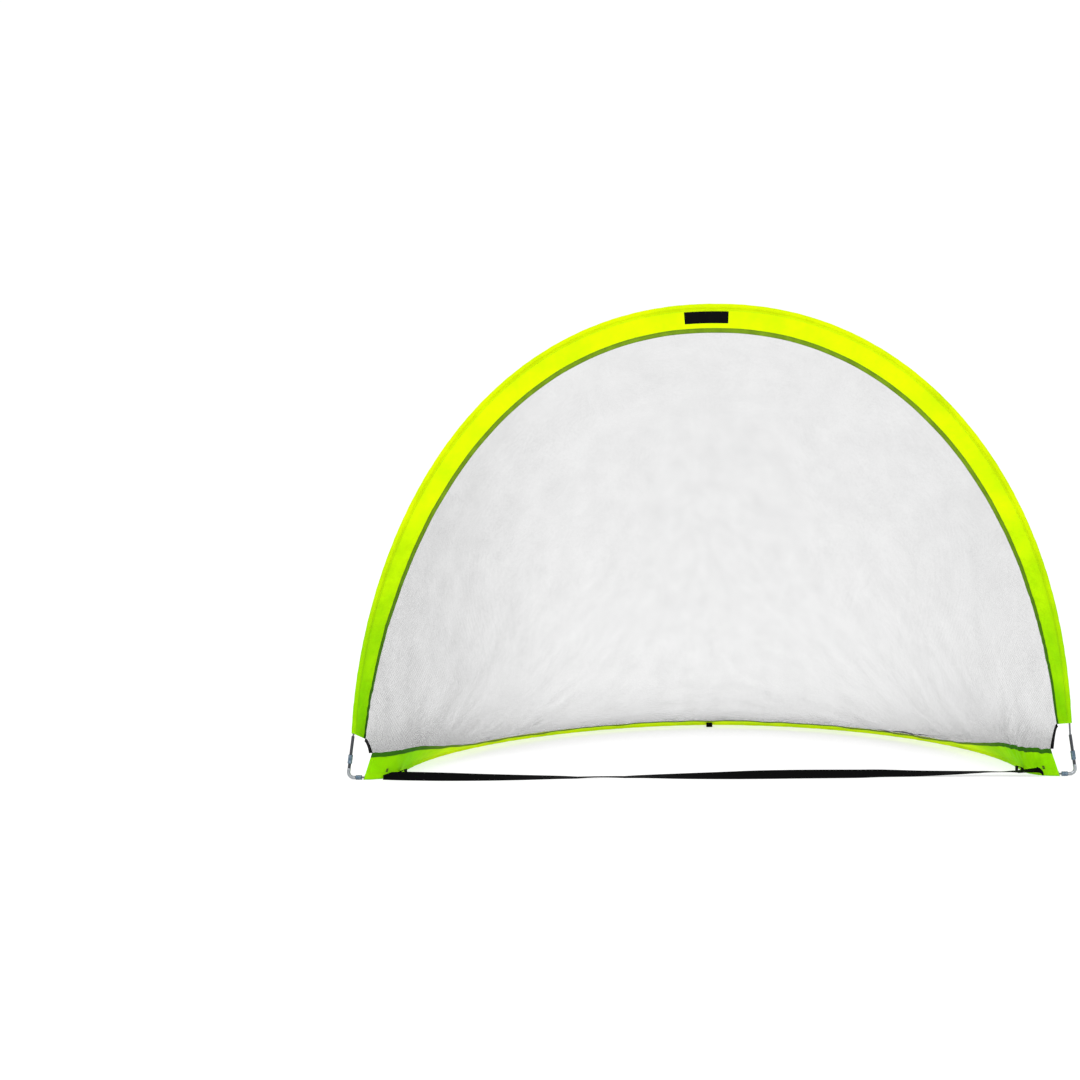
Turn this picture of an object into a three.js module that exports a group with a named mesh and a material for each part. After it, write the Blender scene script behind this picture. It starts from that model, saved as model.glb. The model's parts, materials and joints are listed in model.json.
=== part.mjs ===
// Pop up goal: a sprung front arch and a ground loop joined by two bent elbows, with a net between.
// Millimetres, +Z up, +X across the goal mouth, +Y towards the back of the net.
// The working frame has the goal line at y = 0; the last lines move the origin to the middle of the footprint.
import * as THREE from "three";

// Overall size
const CORNER_X = 916; // middle of the corner posts, at their elbows
const HEIGHT = 1195;
const LOOP_DEPTH = 870; // goal line to the middle of the rear rod
const GAP = 0.3; // between pieces that touch

// Rods, pockets and corner fittings
const ROD_RADIUS = 2.5;
const POCKET_RADIUS = 6;
const POCKET_WALL = 1.4;
const FERRULE_RADIUS = 6;
const FERRULE_CHAMFER = 1.2;
const ROD_BORE = ROD_RADIUS + GAP;
const NECK_RADIUS = 3.2;
const NECK_BORE = NECK_RADIUS + GAP;
const COLLAR_RADIUS = 4;
const TUBE_BORE = 3.3; // the rod already bends a little inside its tube
const ELBOW_RADIUS = 4.5;
const ELBOW_BORE = 2;
const ELBOW_BEND = 13;
const SHOULDER = 0.5;
const AXIS_Z = FERRULE_RADIUS; // height of the lower legs, which is the fold axis
const POST_LEAN = THREE.MathUtils.degToRad(8.2); // the posts lean in, as the sprung arch does
const POST_PIVOT_Z = AXIS_Z + ELBOW_BEND;

// Distances up the corner post, from the ground
const ELBOW_TOP = 30;
const COLLAR_TOP = 42;
const NECK_TOP = 52;
const ARCH_ROD_END = 54;
const UPPER_FERRULE_TOP = 65;
const ROD_TUBE_TOP = { left: 113, right: 106 };
const ARCH_SLEEVE_START = { left: 118, right: 134 };

// Distances inwards from the corner post, along the lower leg
const LOWER_SHOULDER = 18;
const LOWER_NECK_END = 27;
const BASE_ROD_END = 28;
const LOWER_FERRULE_END = 34;
const BASE_SLEEVE_START = 40;

// Shape of the two rods
const ARCH_HALF_WIDTH = 905;
const ARCH_POWER = 2.125; // superellipse exponent of the arch
const ARCH_SWAY = 13; // the sprung arch stands a little to the right above its posts
const ARCH_SWAY_REACH = 465;
const LOOP_POWER = 1.85; // superellipse exponent of the rear loop
const LOOP_HALF_WIDTH = 798;
const LOOP_CORNER_RADIUS = 82;
const LOOP_CORNER_TURN = 84; // degrees turned before the rear sweep begins

// Fabric bands and net
const BAND_WIDTH = 58; // sleeve fabric beyond the rod axis
const HEM_WIDTH = 11;
const BAND_THICKNESS = 1.6;
const HEM_THICKNESS = 1.2;
const NET_THICKNESS = 0.6;
const ARCH_TILT_TOP = 14; // degrees that the arch band leans back at the crown
const ARCH_TILT_GAIN = 65;
const ARCH_TILT_POWER = 1.55;
const BASE_LIFT_REAR = 14; // degrees that the base band rises above the ground at the rear
const BASE_LIFT_GAIN = 60;
const BASE_LIFT_REACH = 315;
// Shift of each band's inner corner along the rod, at its ends
const ARCH_END_SLANT = { left: -18, right: -9 };
const BASE_END_SLANT = { left: 18, right: 18 };
const SLANT_REACH = 90;
const NET_HANDLE = 0.36; // how far the net keeps each band's direction, as a part of its span
const NET_PULL = 0.7; // how much of that is lost at the cut corners, which are pulled straight
const NET_PULL_REACH = 120;
const STATIONS = 48;
const STATION_CROWDING = 0.72;
const NET_ROWS = 10;

// Straps, loops and patch
const STRAP_WIDTH = 25;
const STRAP_THICKNESS = 1.6;
const STRAP_STEPS = 80;
const STRAP_SECTION = [[-1, 0.6], [-0.6, 0.92], [0, 1], [0.6, 0.92], [1, 0.6]]; // parts of half its size
const BINDING_WIDTH = 9;
const BINDING_THICKNESS = 2.2;
const BINDING_STEPS = 5;
const PEG_LOOP_WIDTH = 17;
const PEG_LOOP_WALL = 2;
const PEG_LOOP_CORNER = 2.5;
const SIDE_LOOP = { stem: 0, length: 17, near: 12, far: 19 }; // near and far: heights of its two ends
const REAR_LOOP = { stem: 15, length: 34, near: 5.8, far: 14 };
const SIDE_LOOP_TURN = 75; // degrees round the ground loop's corner
const PATCH = { reach: 0.52, inner: 13, outer: 44, thickness: 0.8 }; // reach: part of one band station

const vec = (x, y, z) => new THREE.Vector3(x, y, z);
const deg = THREE.MathUtils.degToRad;

// Materials
const finish = (color, roughness, metalness = 0) =>
  new THREE.MeshStandardMaterial({ color, roughness, metalness });
const limeFabric = () => finish(0xc8f000, 0.75);
const hemFabric = () => finish(0x4a7a12, 0.85);
const blackMesh = () => finish(0x17171b, 0.8);
const blackWebbing = () => finish(0x101012, 0.7);
const fibreglass = () => finish(0x5c6066, 0.45);
const blackVinyl = () => finish(0x1d2026, 0.5);
const zincPlate = () => finish(0x4c5f70, 0.4, 0.85);
const brightSteel = () => finish(0xb9bec2, 0.25, 1);

// Superellipse quarter: 0 gives (1, 0) and a quarter turn gives (0, 1).
function superellipse(angle, power) {
  return [Math.abs(Math.cos(angle)) ** (2 / power), Math.abs(Math.sin(angle)) ** (2 / power)];
}

// The arch rod's centre line from one sleeve end to the other.
function archCurve() {
  const rise = HEIGHT - POCKET_RADIUS;
  const startAngle = (height) => Math.asin((height / rise) ** (ARCH_POWER / 2));
  const start = startAngle(ARCH_SLEEVE_START.left);
  const end = Math.PI - startAngle(ARCH_SLEEVE_START.right);
  const points = [];
  const steps = 80;
  for (let i = 0; i <= steps; i++) {
    const angle = start + (i / steps) * (end - start);
    const [across, up] = superellipse(angle, ARCH_POWER);
    const side = angle < Math.PI / 2 ? -1 : 1;
    const height = rise * up;
    const sway = ARCH_SWAY * (1 - Math.exp(-((height / ARCH_SWAY_REACH) ** 2)));
    points.push(vec(side * ARCH_HALF_WIDTH * across + sway, 0, height));
  }
  return new THREE.CatmullRomCurve3(points);
}

// The base rod's centre line: a tight corner arc, then a wide sweep round the back.
function baseCurve() {
  const left = [];
  const arcSteps = 8;
  const arcStart = CORNER_X - BASE_SLEEVE_START;
  for (let i = 0; i < arcSteps; i++) {
    const turn = deg((LOOP_CORNER_TURN * i) / arcSteps);
    left.push(
      vec(-arcStart + LOOP_CORNER_RADIUS * Math.sin(turn), LOOP_CORNER_RADIUS * (1 - Math.cos(turn)), AXIS_Z),
    );
  }
  const sweepStart = LOOP_CORNER_RADIUS * (1 - Math.cos(deg(LOOP_CORNER_TURN)));
  const start = Math.asin((sweepStart / LOOP_DEPTH) ** (LOOP_POWER / 2));
  const sweepSteps = 40;
  for (let i = 0; i < sweepSteps; i++) {
    const [across, back] = superellipse(start + (i / sweepSteps) * (Math.PI / 2 - start), LOOP_POWER);
    left.push(vec(-LOOP_HALF_WIDTH * across, LOOP_DEPTH * back, AXIS_Z));
  }
  const right = left.map((p) => vec(-p.x, p.y, p.z)).reverse();
  return new THREE.CatmullRomCurve3([...left, vec(0, LOOP_DEPTH, AXIS_Z), ...right]);
}

// Fractions along each band, closer together near the corners.
const fractions = Array.from({ length: STATIONS + 1 }, (_, i) => {
  const t = i / STATIONS;
  return t - (STATION_CROWDING * Math.sin(2 * Math.PI * t)) / (2 * Math.PI);
});

// One station of a band: rod centre c, band direction u, face direction v, rod direction w.
function station(curve, fraction, direction, endSlant) {
  const c = curve.getPointAt(fraction);
  const w = curve.getTangentAt(fraction);
  const run = curve.getLength() * Math.min(fraction, 1 - fraction);
  const u = direction(c, w, run);
  const v = w.clone().cross(u);
  const shift = fraction < 0.5 ? endSlant.left : -endSlant.right;
  const slant = (shift * Math.exp(-run / SLANT_REACH)) / BAND_WIDTH;
  return { c, u, v, w, slant, run };
}

function archBandDirection(c, w) {
  const low = 1 - c.z / HEIGHT;
  const tilt = deg(ARCH_TILT_TOP + ARCH_TILT_GAIN * low ** ARCH_TILT_POWER);
  const inward = vec(w.z, 0, -w.x);
  return inward.multiplyScalar(Math.cos(tilt)).add(vec(0, Math.sin(tilt), 0));
}

function baseBandDirection(c, w, run) {
  const lift = deg(BASE_LIFT_REAR + BASE_LIFT_GAIN * Math.exp(-((run / BASE_LIFT_REACH) ** 2)));
  const inward = vec(w.y, -w.x, 0);
  return inward.multiplyScalar(Math.cos(lift)).add(vec(0, 0, Math.sin(lift)));
}

const arch = archCurve();
const base = baseCurve();
arch.arcLengthDivisions = 1200;
base.arcLengthDivisions = 1200;
const archStations = fractions.map((f) => station(arch, f, archBandDirection, ARCH_END_SLANT));
const baseStations = fractions.map((f) => station(base, f, baseBandDirection, BASE_END_SLANT));

// A point in a station's own section: a along the band, b across its thickness.
const at = (s, a, b) =>
  s.c
    .clone()
    .addScaledVector(s.u, a)
    .addScaledVector(s.v, b)
    .addScaledVector(s.w, s.slant * a);

function geometryOf(points, faces) {
  const geometry = new THREE.BufferGeometry();
  geometry.setAttribute(
    "position",
    new THREE.Float32BufferAttribute(points.flatMap((p) => [p.x, p.y, p.z]), 3),
  );
  geometry.setIndex(faces);
  geometry.computeVertexNormals();
  return geometry;
}

// Sweeps a counter-clockwise outline, with an optional clockwise hole, through the stations.
// outlineAt and holeAt give the section's [a, b] points at a station's number.
function sweep(stations, outlineAt, holeAt = null) {
  const points = [];
  const faces = [];
  const sections = stations.map((s, k) => {
    const outline = outlineAt(k);
    const hole = holeAt ? holeAt(k) : [];
    return { outline, hole };
  });
  const outer = sections[0].outline.length;
  const inner = sections[0].hole.length;
  const size = outer + inner;
  stations.forEach((s, k) => {
    for (const [a, b] of [...sections[k].outline, ...sections[k].hole]) points.push(at(s, a, b));
  });
  const ring = (k, first, count) => {
    for (let i = 0; i < count; i++) {
      const j = (i + 1) % count;
      const here = k * size + first;
      const next = here + size;
      faces.push(here + i, here + j, next + j, here + i, next + j, next + i);
    }
  };
  for (let k = 0; k + 1 < stations.length; k++) {
    ring(k, 0, outer);
    if (inner) ring(k, outer, inner);
  }
  const flat = (list) => list.map(([a, b]) => new THREE.Vector2(a, b));
  const cap = (k, turned) => {
    const { outline, hole } = sections[k];
    const triangles = THREE.ShapeUtils.triangulateShape(flat(outline), inner ? [flat(hole)] : []);
    for (const [p, q, r] of triangles) {
      const o = k * size;
      if (turned) faces.push(o + p, o + r, o + q);
      else faces.push(o + p, o + q, o + r);
    }
  };
  cap(0, true);
  cap(stations.length - 1, false);
  return geometryOf(points, faces);
}

const circle = (radius, sides, turn = 1) =>
  Array.from({ length: sides }, (_, i) => {
    const angle = (turn * 2 * Math.PI * (i + 0.5)) / sides;
    return [radius * Math.cos(angle), radius * Math.sin(angle)];
  });
const rectangle = (a0, a1, thickness) => [
  [a0, -thickness / 2],
  [a1, -thickness / 2],
  [a1, thickness / 2],
  [a0, thickness / 2],
];

// Thin closed sheet on both sides of a grid of points.
function sheet(grid, thickness) {
  const rows = grid.length;
  const columns = grid[0].length;
  const points = [];
  for (const side of [1, -1]) {
    for (let i = 0; i < rows; i++) {
      for (let j = 0; j < columns; j++) {
        const along = grid[Math.min(i + 1, rows - 1)][j].clone().sub(grid[Math.max(i - 1, 0)][j]);
        const across = grid[i][Math.min(j + 1, columns - 1)].clone().sub(grid[i][Math.max(j - 1, 0)]);
        const normal = along.cross(across).normalize();
        points.push(grid[i][j].clone().addScaledVector(normal, (side * thickness) / 2));
      }
    }
  }
  const faces = [];
  const back = rows * columns;
  const quad = (a, b, c, d) => faces.push(a, b, c, a, c, d);
  const n = (i, j) => i * columns + j;
  for (let i = 0; i + 1 < rows; i++) {
    for (let j = 0; j + 1 < columns; j++) {
      const [a, b, c, d] = [n(i, j), n(i + 1, j), n(i + 1, j + 1), n(i, j + 1)];
      quad(a, b, c, d);
      quad(back + a, back + d, back + c, back + b);
    }
  }
  const edge = [];
  for (let i = 0; i + 1 < rows; i++) edge.push(n(i, 0));
  for (let j = 0; j + 1 < columns; j++) edge.push(n(rows - 1, j));
  for (let i = rows - 1; i > 0; i--) edge.push(n(i, columns - 1));
  for (let j = columns - 1; j > 0; j--) edge.push(n(0, j));
  edge.forEach((a, k) => {
    const b = edge[(k + 1) % edge.length];
    quad(a, back + a, back + b, b);
  });
  return geometryOf(points, faces);
}

// A point on the left post's axis, at a distance up it from the ground.
function onPostAxis(distance) {
  const up = distance - POST_PIVOT_Z;
  return vec(-CORNER_X + up * Math.sin(POST_LEAN), 0, POST_PIVOT_Z + up * Math.cos(POST_LEAN));
}

const goal = new THREE.Group();
function add(name, geometry, material, mirrored = false) {
  const mesh = new THREE.Mesh(geometry, material);
  mesh.name = name;
  if (mirrored) mesh.scale.x = -1;
  goal.add(mesh);
  return mesh;
}

// Rods: round, straight inside their ferrules and bent through the sleeves.
function rod(stations, leftEnd) {
  const rightEnd = vec(-leftEnd.x, leftEnd.y, leftEnd.z);
  const first = stations[0];
  const last = stations[stations.length - 1];
  const all = [{ ...first, c: leftEnd }, ...stations, { ...last, c: rightEnd }];
  return sweep(
    all.map((s) => ({ ...s, slant: 0 })),
    () => circle(ROD_RADIUS, 8),
  );
}
function archRod() {
  const left = [UPPER_FERRULE_TOP, ROD_TUBE_TOP.left].map((d) => ({ ...archStations[0], c: onPostAxis(d) }));
  const right = [ROD_TUBE_TOP.right, UPPER_FERRULE_TOP].map((d) => {
    const c = onPostAxis(d);
    return { ...archStations[STATIONS], c: vec(-c.x, 0, c.z) };
  });
  return rod([...left, ...archStations, ...right], onPostAxis(ARCH_ROD_END));
}
add("arch_rod", archRod(), fibreglass());
add("base_rod", rod(baseStations, vec(-CORNER_X + BASE_ROD_END, 0, AXIS_Z)), fibreglass());

// Sleeve section: a round pocket for the rod with a flat doubled band beyond it.
function sleeveOutline() {
  const half = BAND_THICKNESS / 2;
  const neck = Math.asin(half / POCKET_RADIUS);
  const arcSteps = 12;
  const points = [];
  for (let i = 0; i <= arcSteps; i++) {
    const angle = neck + (i / arcSteps) * 2 * (Math.PI - neck);
    points.push([POCKET_RADIUS * Math.cos(angle), POCKET_RADIUS * Math.sin(angle)]);
  }
  return [...points, [BAND_WIDTH, -half], [BAND_WIDTH, half]];
}
const pocketHole = () => circle(POCKET_RADIUS - POCKET_WALL, 8, -1);
add("arch_sleeve", sweep(archStations, sleeveOutline, pocketHole), limeFabric());
add("base_sleeve", sweep(baseStations, sleeveOutline, pocketHole), limeFabric());

// Hems: the doubled net edge sewn along each band.
const hemStart = BAND_WIDTH + GAP;
const hemEnd = BAND_WIDTH + HEM_WIDTH;
const hemOutline = () => rectangle(hemStart, hemEnd, HEM_THICKNESS);
add("arch_net_hem", sweep(archStations, hemOutline), hemFabric());
add("base_net_hem", sweep(baseStations, hemOutline), hemFabric());

// Net: leaves each hem in the direction of its band and sags between them.
function netRow(k) {
  const top = at(archStations[k], hemEnd + GAP, 0);
  const foot = at(baseStations[k], hemEnd + GAP, 0);
  const slack = 1 - NET_PULL * Math.exp(-baseStations[k].run / NET_PULL_REACH);
  const handle = top.distanceTo(foot) * NET_HANDLE * slack;
  return new THREE.CubicBezierCurve3(
    top,
    top.clone().addScaledVector(archStations[k].u, handle),
    foot.clone().addScaledVector(baseStations[k].u, handle),
    foot,
  ).getPoints(NET_ROWS);
}
const netGrid = fractions.map((_, k) => netRow(k));
add("net_panel", sheet(netGrid, NET_THICKNESS), blackMesh());

// Bindings: black tape along the cut corners of the net.
function binding(edge, beyond) {
  const curve = new THREE.CatmullRomCurve3(edge);
  const inner = new THREE.CatmullRomCurve3(beyond);
  const rows = [];
  for (let i = 0; i <= BINDING_STEPS; i++) {
    const p = curve.getPoint(i / BINDING_STEPS);
    const outward = p.clone().sub(inner.getPoint(i / BINDING_STEPS)).normalize();
    rows.push([GAP, GAP + BINDING_WIDTH].map((d) => p.clone().addScaledVector(outward, d)));
  }
  return sheet(rows, BINDING_THICKNESS);
}
add("corner_binding_left", binding(netGrid[0], netGrid[1]), blackWebbing());
add("corner_binding_right", binding(netGrid[STATIONS], netGrid[STATIONS - 1]), blackWebbing());

// Corner fittings, drawn for the left corner and mirrored for the right.
function post(profile) {
  const points = profile.map(([r, z]) => new THREE.Vector2(r, z));
  points.push(points[0].clone());
  return new THREE.LatheGeometry(points.reverse(), 16).rotateX(Math.PI / 2);
}
const tubeProfile = (inner, outer, z0, z1) => [
  [inner, z0],
  [inner, z1],
  [outer, z1],
  [outer, z0],
];
// A ferrule with one bore for the elbow's neck and a smaller one for the rod.
function ferruleProfile(neckFace, step, rodFace) {
  const chamfer = Math.sign(rodFace - neckFace) * FERRULE_CHAMFER;
  return [
    [NECK_BORE, neckFace],
    [NECK_BORE, step],
    [ROD_BORE, step],
    [ROD_BORE, rodFace],
    [FERRULE_RADIUS - FERRULE_CHAMFER, rodFace],
    [FERRULE_RADIUS, rodFace - chamfer],
    [FERRULE_RADIUS, neckFace + chamfer],
    [FERRULE_RADIUS - FERRULE_CHAMFER, neckFace],
  ];
}
function elbow() {
  const side = vec(0, 1, 0);
  const stations = [];
  const radii = [];
  const push = (c, w, radius) => {
    stations.push({ c, u: side, v: w.clone().cross(side), w, slant: 0 });
    radii.push(radius);
  };
  const down = vec(-Math.sin(POST_LEAN), 0, -Math.cos(POST_LEAN));
  const inward = vec(1, 0, 0);
  push(onPostAxis(NECK_TOP), down, NECK_RADIUS);
  push(onPostAxis(ELBOW_TOP), down, NECK_RADIUS);
  push(onPostAxis(ELBOW_TOP - SHOULDER), down, ELBOW_RADIUS);
  const bendSteps = 7;
  const bendStart = Math.PI - POST_LEAN;
  for (let i = 0; i <= bendSteps; i++) {
    const turn = bendStart + (i / bendSteps) * (1.5 * Math.PI - bendStart);
    const x = -CORNER_X + ELBOW_BEND * (1 + Math.cos(turn));
    const z = AXIS_Z + ELBOW_BEND * (1 + Math.sin(turn));
    push(vec(x, 0, z), vec(-Math.sin(turn), 0, Math.cos(turn)), ELBOW_RADIUS);
  }
  push(vec(-CORNER_X + LOWER_SHOULDER - SHOULDER, 0, AXIS_Z), inward, ELBOW_RADIUS);
  push(vec(-CORNER_X + LOWER_SHOULDER, 0, AXIS_Z), inward, NECK_RADIUS);
  push(vec(-CORNER_X + LOWER_NECK_END, 0, AXIS_Z), inward, NECK_RADIUS);
  return sweep(
    stations,
    (k) => circle(radii[k], 12),
    () => circle(ELBOW_BORE, 6, -1),
  );
}
function onPost(geometry) {
  return geometry.translate(0, 0, -POST_PIVOT_Z).rotateY(POST_LEAN).translate(-CORNER_X, 0, POST_PIVOT_Z);
}
function onLowerLeg(geometry) {
  return geometry.rotateY(Math.PI / 2).translate(-CORNER_X, 0, AXIS_Z);
}
const upperStep = NECK_TOP + 1;
const lowerStep = LOWER_NECK_END + GAP;
for (const [side, mirrored] of [["left", false], ["right", true]]) {
  const fit = (name, geometry, material) => add(`${name}_${side}`, geometry, material, mirrored);
  fit("elbow", elbow(), brightSteel());
  fit("neck_collar", onPost(post(tubeProfile(NECK_BORE, COLLAR_RADIUS, ELBOW_TOP + GAP, COLLAR_TOP - GAP))),
    blackVinyl());
  fit("upper_ferrule", onPost(post(ferruleProfile(COLLAR_TOP, upperStep, UPPER_FERRULE_TOP))), zincPlate());
  const tube = tubeProfile(TUBE_BORE, COLLAR_RADIUS, UPPER_FERRULE_TOP + GAP, ROD_TUBE_TOP[side]);
  fit("rod_tube", onPost(post(tube)), blackVinyl());
  fit("lower_ferrule",
    onLowerLeg(post(ferruleProfile(LOWER_SHOULDER + GAP, lowerStep, LOWER_FERRULE_END))), zincPlate());
}

// Front strap: webbing that lies across the goal mouth with a lazy twist.
// Each point is distance across, distance back, lift off the ground and twist in degrees
// (0 lies flat, 90 stands on edge).
const STRAP_ROUTE = [
  [-824, -1, 0, 57],
  [-771, -9, 0, 53],
  [-681, -18, 0, 48],
  [-580, -17, 0, 34],
  [-479, -9, 0, 21],
  [-378, 6, 0, 7],
  [-278, 14, 0, -6],
  [-176, 13, 0, 6],
  [-75, -3, 0, 22],
  [26, -12, 0, 36],
  [126, -15, 0, 50],
  [227, -12, 0, 53],
  [377, -6, 0, 47],
  [428, 2, 0.5, 40],
  [529, 6, 1.5, 25],
  [631, 7, 6.4, 8],
  [683, 7, 9.3, -1],
  [735, 4, 8.3, -8],
  [765, 1, 11, -1],
  [795, -2, 11.2, 9],
  [822, -4, 11.6, 18],
];
function frontStrap() {
  const route = new THREE.CatmullRomCurve3(STRAP_ROUTE.map(([x, y, lift]) => vec(x, y, lift)));
  const turns = new THREE.CatmullRomCurve3(STRAP_ROUTE.map(([x, , , twist]) => vec(x, twist, 0)));
  const stations = Array.from({ length: STRAP_STEPS + 1 }, (_, i) => {
    const p = route.getPoint(i / STRAP_STEPS);
    const twist = deg(turns.getPoint(i / STRAP_STEPS).y);
    const w = vec(1, 0, 0);
    const u = vec(0, Math.cos(twist), Math.sin(twist));
    const flat = (STRAP_THICKNESS / 2) * Math.abs(Math.cos(twist));
    const onEdge = (STRAP_WIDTH / 2) * Math.abs(Math.sin(twist));
    const height = Math.max(p.z, 0) + flat + onEdge;
    return { c: vec(p.x, p.y, height), u, v: w.clone().cross(u), w, slant: 0 };
  });
  const face = (side) =>
    STRAP_SECTION.map(([a, b]) => [(-side * a * STRAP_WIDTH) / 2, (side * b * STRAP_THICKNESS) / 2]);
  const outline = [...face(-1), ...face(1)];
  return sweep(stations, () => outline);
}
add("front_strap", frontStrap(), blackWebbing());

// Peg loops: webbing folded into an eye that stands on the ground, its width along the rod.
// Seen along the rod, the eye is lower at the rod and higher at its far end.
function loopOutline(path, { length, near, far }, start, inset) {
  const end = length - inset;
  const top = (x) => near + ((far - near) * x) / length - inset;
  const corner = Math.max(PEG_LOOP_CORNER - inset, 0.5);
  path.moveTo(start, inset);
  path.lineTo(end - corner, inset);
  path.lineTo(end, inset + corner);
  path.lineTo(end, top(end) - corner);
  path.lineTo(end - corner, top(end - corner));
  path.lineTo(start, top(start));
  path.closePath();
  return path;
}
function pegLoop(size) {
  const shape = loopOutline(new THREE.Shape(), size, 0, 0);
  shape.holes.push(loopOutline(new THREE.Path(), size, size.stem + PEG_LOOP_WALL, PEG_LOOP_WALL));
  const geometry = new THREE.ExtrudeGeometry(shape, { depth: PEG_LOOP_WIDTH, bevelEnabled: false });
  return geometry.rotateX(Math.PI / 2).translate(0, PEG_LOOP_WIDTH / 2, 0);
}
function sidePegLoop() {
  const turn = deg(SIDE_LOOP_TURN);
  const reach = LOOP_CORNER_RADIUS + POCKET_RADIUS + GAP;
  const x = -(CORNER_X - BASE_SLEEVE_START) + reach * Math.sin(turn);
  const y = LOOP_CORNER_RADIUS - reach * Math.cos(turn);
  return pegLoop(SIDE_LOOP).rotateZ(turn - Math.PI / 2).translate(x, y, 0);
}
add("peg_loop_left", sidePegLoop(), blackWebbing());
add("peg_loop_right", sidePegLoop(), blackWebbing(), true);
const rearLoop = add("peg_loop_rear", pegLoop(REAR_LOOP).rotateZ(-Math.PI / 2), blackWebbing());
rearLoop.position.set(0, LOOP_DEPTH - POCKET_RADIUS - 3 * GAP, 0);

// Crown patch: plain woven patch on the front of the arch band, at its top.
function crownPatch() {
  const offset = -(BAND_THICKNESS / 2 + GAP + PATCH.thickness / 2);
  const middle = STATIONS / 2;
  const row = (k) => [PATCH.inner, PATCH.outer].map((a) => at(archStations[k], a, offset));
  const crown = row(middle);
  const end = (k) => row(k).map((p, i) => crown[i].clone().lerp(p, PATCH.reach));
  return sheet([end(middle - 1), crown, end(middle + 1)], PATCH.thickness);
}
add("crown_patch", crownPatch(), blackVinyl());

// The origin is the middle of the footprint, on the ground.
const extent = new THREE.Box3().setFromObject(goal);
goal.position.y = -(extent.min.y + extent.max.y) / 2;

export default goal;
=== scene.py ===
import json
import math
import bpy
import numpy as np
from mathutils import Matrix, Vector


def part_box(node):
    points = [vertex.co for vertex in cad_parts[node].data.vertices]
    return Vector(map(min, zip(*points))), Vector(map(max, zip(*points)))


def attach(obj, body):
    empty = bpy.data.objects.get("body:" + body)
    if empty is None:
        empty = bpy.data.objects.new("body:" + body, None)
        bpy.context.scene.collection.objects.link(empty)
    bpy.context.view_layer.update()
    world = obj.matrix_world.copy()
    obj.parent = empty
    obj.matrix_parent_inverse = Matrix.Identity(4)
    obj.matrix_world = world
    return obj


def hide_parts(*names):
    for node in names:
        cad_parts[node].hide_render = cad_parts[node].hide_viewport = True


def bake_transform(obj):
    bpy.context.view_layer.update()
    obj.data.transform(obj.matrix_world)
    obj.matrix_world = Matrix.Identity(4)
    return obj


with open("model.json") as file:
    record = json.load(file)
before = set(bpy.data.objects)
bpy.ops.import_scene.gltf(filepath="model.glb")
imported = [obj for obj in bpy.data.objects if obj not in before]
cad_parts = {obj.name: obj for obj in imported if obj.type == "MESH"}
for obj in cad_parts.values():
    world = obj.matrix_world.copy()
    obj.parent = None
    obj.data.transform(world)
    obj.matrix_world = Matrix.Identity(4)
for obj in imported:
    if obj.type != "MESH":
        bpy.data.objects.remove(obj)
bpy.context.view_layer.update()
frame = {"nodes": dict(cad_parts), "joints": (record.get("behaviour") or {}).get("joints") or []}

# Pop up goal: a sprung front arch and a ground loop in lime fabric sleeves, joined by two bent
# elbows, with a fine black net between. Metres, +Z up, +X across the goal mouth, +Y to the back.
MM = 0.001

# ---------------- sizes

_, FRONT_Y, AXIS_Z = frame["joints"][0]["pos_m"]  # the fold axis, along the lower legs

ROD_RADIUS = 2.5 * MM
POCKET_RADIUS = 6 * MM
POCKET_OPEN = math.radians(57)  # where the pocket's round part runs into the flat band
SEAM = 10 * MM  # stitched seam between the pocket and the band
BAND_WIDTH = 58 * MM
BAND_LAYER = 0.7 * MM  # half the gap between the band's two layers
HEM_START, HEM_END, HEM_HALF = 56.5 * MM, 69 * MM, 1 * MM
# One face of the hem: distance out from the rod, and height off its middle in parts of HEM_HALF
HEM_FACE = ((HEM_START, 1), (60 * MM, 1.15), (64 * MM, 1), (67.5 * MM, 0.85))
NET_EDGE = 68.5 * MM
# Where the stitches lie: along the band, across it and on the hem, off the middle layer
ALONG_BAND, ACROSS_BAND, ON_HEM = BAND_LAYER + 0.25 * MM, BAND_LAYER + 0.2 * MM, 1.3 * MM
END_SEAM = 7 * MM  # from the sleeve's ends

ARCH_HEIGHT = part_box("arch_sleeve")[1].z
ARCH_RISE = ARCH_HEIGHT - POCKET_RADIUS
ARCH_HALF_WIDTH = 905 * MM
ARCH_POWER = 2.125
ARCH_SWAY, ARCH_SWAY_REACH = 13 * MM, 465 * MM  # it stands a little to the right above its posts
SLEEVE_START_Z = (118 * MM, 134 * MM)  # left and right
ARCH_TILT_TOP, ARCH_TILT_GAIN, ARCH_TILT_POWER = 14, 65, 1.55  # degrees, more towards the ground
ARCH_END_SLANT = (-18 * MM, -9 * MM)  # left and right

LOOP_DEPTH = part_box("base_rod")[1].y - ROD_RADIUS - FRONT_Y
LOOP_HALF_WIDTH = 798 * MM
LOOP_POWER = 1.85
LOOP_CORNER_RADIUS = 82 * MM
LOOP_CORNER_TURN = math.radians(84)
BASE_LIFT_REAR, BASE_LIFT_GAIN, BASE_LIFT_REACH = 14, 60, 315 * MM  # degrees, more near the ends
BASE_END_SLANT = (18 * MM, 18 * MM)
LOOP_START_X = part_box("base_sleeve")[1].x - POCKET_RADIUS * BASE_END_SLANT[1] / BAND_WIDTH
SLANT_REACH = 90 * MM

CROWDING = 0.72  # how far the stations crowd towards the corners
NET_HANDLE = 0.36  # how far the net keeps each band's direction, as a part of its span
NET_PULL, NET_PULL_REACH = 0.7, 120 * MM  # how much of that is lost at the cut corners
NET_CREASE = {"x": 0.53, "length": 0.075, "width": 7 * MM, "depth": 6 * MM, "away": 26 * MM, "lean": 0.1}

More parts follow.
